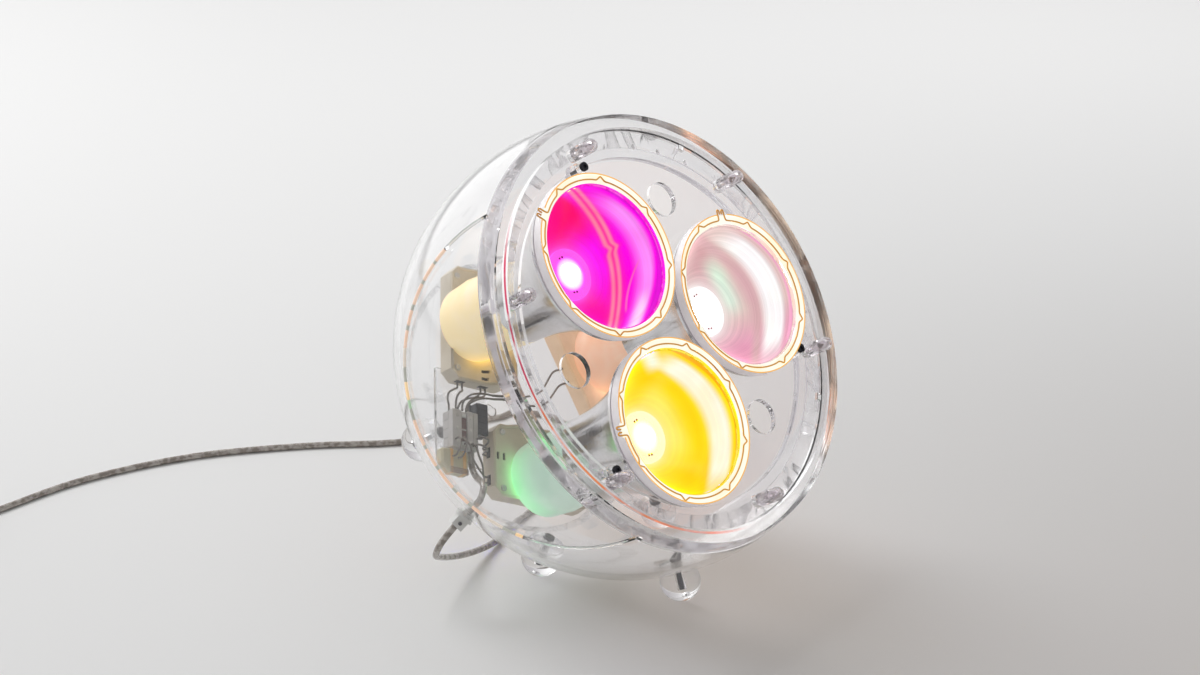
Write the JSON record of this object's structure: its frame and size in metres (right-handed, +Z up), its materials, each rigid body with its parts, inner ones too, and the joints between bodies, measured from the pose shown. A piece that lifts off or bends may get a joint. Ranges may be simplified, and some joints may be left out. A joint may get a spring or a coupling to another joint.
{
  "type": "floor lamp",
  "caption": "Clear globe floor lamp on ball feet: coloured spot lamps behind a recessed clear plate, lift-out filters, visible wiring, cord with inline switch.",
  "frame": {"origin": "on the floor, under the middle of the lamp's own box without its cord", "axes": "+Z up, the beam leaves towards -Y and up, +X to the viewer's right when facing the lamp"},
  "size_m": [0.5419, 0.594, 0.3049],
  "materials": {
    "clear_shell": "clear polished acrylic",
    "clear_plate": "clear polished acrylic, edges catch the light",
    "clear_pin": "clear moulded plastic",
    "clear_foot": "clear moulded plastic",
    "clear_bracket": "clear sheet",
    "reflector_silver": "spun and polished, lit from inside",
    "bell_silver": "polished, slightly brushed",
    "cup_peach": "frosted, lit from inside",
    "cup_cream": "frosted, lit from inside",
    "cup_green": "frosted, lit from inside",
    "holder_beige": "moulded, slightly rough",
    "bulb_glow": "lit",
    "bulb_plate_bright": "bright",
    "filter_pink": "coated colour glass",
    "filter_magenta": "coated colour glass",
    "filter_yellow": "coated colour glass",
    "ring_wire": "drawn spring wire",
    "screw_black": "black",
    "stud_steel": "threaded, dark",
    "terminal_grey": "moulded",
    "relay_black": "moulded",
    "transformer_tape": "taped winding",
    "wire_grey": "insulated wire",
    "cord_sheath": "clear sheath over grey cores",
    "gland_grey": "moulded",
    "switch_black": "moulded",
    "rocker_grey": "moulded",
    "plug_black": "moulded",
    "plug_pin": "plated"
  },
  "bodies": {
    "globe": {"front_shell": "clear_shell", "rear_shell": "clear_shell", "front_plate": "clear_plate", "plate_pins": "clear_pin", "foot_studs": "stud_steel", "rear_foot_studs": "stud_steel", "bracket": "clear_bracket", "terminal_block": "terminal_grey", "relay": "relay_black", "transformer": "transformer_tape", "wiring": "wire_grey", "supply_lead": "cord_sheath", "gland": "gland_grey", "cord_clamp": "holder_beige", "clamp_screw": "stud_steel", "cord": "cord_sheath", "cord_coil": "cord_sheath", "switch_base": "switch_black", "switch_cover": "switch_black", "plug_body": "plug_black", "plug_pins": "plug_pin", "plate_screw_1": "screw_black", "reflector_1": "reflector_silver", "bell_1": "bell_silver", "cup_1": "cup_peach", "holder_1": "holder_beige", "bulb_1": "bulb_glow", "bulb_plate_1": "bulb_plate_bright", "foot_1": "clear_foot", "rear_foot_1": "clear_foot", "plate_screw_2": "screw_black", "reflector_2": "reflector_silver", "bell_2": "bell_silver", "cup_2": "cup_cream", "holder_2": "holder_beige", "bulb_2": "bulb_glow", "bulb_plate_2": "bulb_plate_bright", "foot_2": "clear_foot", "rear_foot_2": "clear_foot", "plate_screw_3": "screw_black", "reflector_3": "reflector_silver", "bell_3": "bell_silver", "cup_3": "cup_green", "holder_3": "holder_beige", "bulb_3": "bulb_glow", "bulb_plate_3": "bulb_plate_bright", "foot_3": "clear_foot", "rear_foot_3": "clear_foot"},
    "filter_1": {"filter_1": "filter_pink", "filter_ring_1": "ring_wire"},
    "filter_2": {"filter_2": "filter_magenta", "filter_ring_2": "ring_wire"},
    "filter_3": {"filter_3": "filter_yellow", "filter_ring_3": "ring_wire"},
    "rocker": {"rocker": "rocker_grey"}
  },
  "joints": [
    {"name": "filter_1_lift", "type": "slide", "parent": "globe", "child": "filter_1", "axis": [0, -0.8348, 0.5505], "range_m": [0, 0.04]},
    {"name": "filter_2_lift", "type": "slide", "parent": "globe", "child": "filter_2", "axis": [0, -0.8348, 0.5505], "range_m": [0, 0.04]},
    {"name": "filter_3_lift", "type": "slide", "parent": "globe", "child": "filter_3", "axis": [0, -0.8348, 0.5505], "range_m": [0, 0.04]},
    {"name": "rocker_press", "type": "hinge", "parent": "globe", "child": "rocker", "pos_m": [-0.28, 0.362, 0.016], "axis": [0, 1, 0], "range_deg": [-16, 0]}
  ]
}
